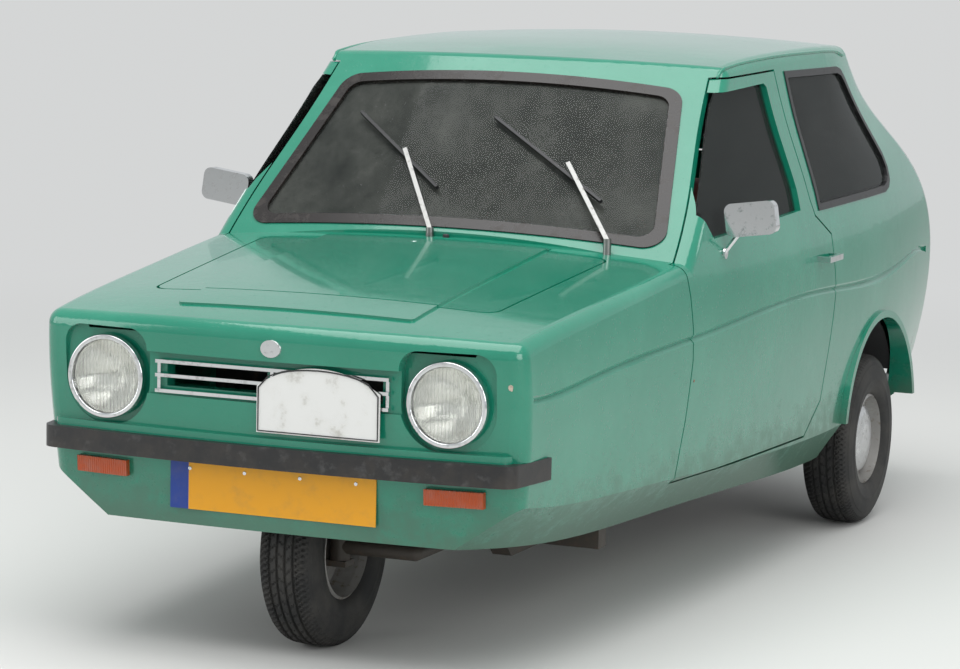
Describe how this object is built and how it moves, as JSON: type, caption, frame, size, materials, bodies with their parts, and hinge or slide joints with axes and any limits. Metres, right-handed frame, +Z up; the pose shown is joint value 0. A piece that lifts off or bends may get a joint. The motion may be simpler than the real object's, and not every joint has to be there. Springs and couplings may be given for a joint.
{
  "type": "three wheeled car",
  "caption": "small three-wheeled saloon in teal, one steered wheel in the nose, opening doors, bonnet and glass tailgate",
  "frame": {"origin": "on the ground midway along the car, on its centre plane", "axes": "+X to the left side of the car, +Y to its tail, +Z up"},
  "size_m": [1.5932, 3.3268, 1.3726],
  "materials": {
    "body_paint": "gloss",
    "black_rubber": "satin",
    "screen_seal": "matte",
    "clear_glass": "clear",
    "chrome_trim": "polished",
    "lamp_reflector": "polished",
    "amber_lens": "gloss",
    "red_lens": "gloss",
    "yellow_plate": "gloss",
    "white_plate": "gloss",
    "wiper_metal": "satin",
    "black_metal": "satin",
    "engine_iron": "rough",
    "rusty_steel": "rusted",
    "wheel_paint": "satin",
    "tyre_rubber": "matte",
    "dark_trim": "matte",
    "seat_cloth": "woven"
  },
  "bodies": {
    "car_body": {"bulkhead": "dark_trim", "dashboard": "dark_trim", "engine_and_gearbox": "engine_iron", "event_plate": "white_plate", "exhaust": "rusty_steel", "front_arm": "black_metal", "front_bumper": "body_paint", "front_bumper_strip": "black_rubber", "front_indicators": "amber_lens", "fuel_tank": "black_metal", "grille_bars": "chrome_trim", "headlamp_bowls": "lamp_reflector", "headlamp_glasses": "clear_glass", "headlamp_rings": "chrome_trim", "ladder_frame": "black_metal", "leaf_springs": "black_metal", "nose_body": "body_paint", "number_plates": "yellow_plate", "propshaft": "black_metal", "quarter_glasses": "clear_glass", "quarter_seals": "black_rubber", "rear_axle": "black_metal", "rear_bumper": "body_paint", "rear_bumper_strip": "black_rubber", "rear_floor": "dark_trim", "roof_and_pillars": "body_paint", "seat_backs": "seat_cloth", "seat_bases": "dark_trim", "seat_cushions": "seat_cloth", "sills_and_floor": "body_paint", "spring_and_damper": "black_metal", "spring_hoop": "black_metal", "steering_column": "black_metal", "tail_body": "body_paint", "tail_lamps": "red_lens", "windscreen": "clear_glass", "windscreen_seal": "screen_seal", "wiper_arms": "wiper_metal", "wiper_blades": "black_rubber"},
    "door_left": {"door_left": "body_paint", "door_glass_left": "clear_glass", "mirror_and_handle_left": "chrome_trim"},
    "door_right": {"door_right": "body_paint", "door_glass_right": "clear_glass", "mirror_and_handle_right": "chrome_trim"},
    "bonnet": {"bonnet_lid": "body_paint"},
    "tailgate": {"hatch_frame": "body_paint", "hatch_glass": "clear_glass"},
    "upright": {"front_upright": "engine_iron"},
    "front_wheel": {"front_rim": "wheel_paint", "front_hub_cap": "chrome_trim", "front_tyre": "tyre_rubber"},
    "rear_left_wheel": {"rear_left_rim": "wheel_paint", "rear_left_hub_cap": "chrome_trim", "rear_left_tyre": "tyre_rubber"},
    "rear_right_wheel": {"rear_right_rim": "wheel_paint", "rear_right_hub_cap": "chrome_trim", "rear_right_tyre": "tyre_rubber"},
    "steering_wheel": {"steering_wheel": "dark_trim"}
  },
  "joints": [
    {"name": "door_left_hinge", "type": "hinge", "parent": "car_body", "child": "door_left", "pos_m": [0.655, -0.7375, 0.65], "axis": [0, 0, 1], "range_deg": [-65, 0]},
    {"name": "door_right_hinge", "type": "hinge", "parent": "car_body", "child": "door_right", "pos_m": [-0.655, -0.7375, 0.65], "axis": [0, 0, 1], "range_deg": [0, 65]},
    {"name": "bonnet_hinge", "type": "hinge", "parent": "car_body", "child": "bonnet", "pos_m": [0, -1.3805, 0.838], "axis": [1, 0, 0], "range_deg": [0, 60]},
    {"name": "tailgate_hinge", "type": "hinge", "parent": "car_body", "child": "tailgate", "pos_m": [0, 0.9905, 1.333], "axis": [1, 0, 0], "range_deg": [0, 70]},
    {"name": "steering", "type": "hinge", "parent": "car_body", "child": "upright", "pos_m": [0.04, -1.331, 0.24], "axis": [0, 0, 1], "range_deg": [-32, 32]},
    {"name": "front_wheel_spin", "type": "hinge", "parent": "upright", "child": "front_wheel", "pos_m": [0, -1.331, 0.24], "axis": [1, 0, 0], "continuous": true},
    {"name": "rear_left_spin", "type": "hinge", "parent": "car_body", "child": "rear_left_wheel", "pos_m": [0.617, 0.828, 0.24], "axis": [1, 0, 0], "continuous": true},
    {"name": "rear_right_spin", "type": "hinge", "parent": "car_body", "child": "rear_right_wheel", "pos_m": [-0.617, 0.828, 0.24], "axis": [1, 0, 0], "continuous": true},
    {"name": "steering_wheel_turn", "type": "hinge", "parent": "car_body", "child": "steering_wheel", "pos_m": [0.3, -0.2635, 0.84], "axis": [0, 0.8829, 0.4695], "range_deg": [-384, 384]}
  ],
  "couplings": [
    {"joint": "steering", "follows": "steering_wheel_turn", "ratio": 0.083333}
  ]
}
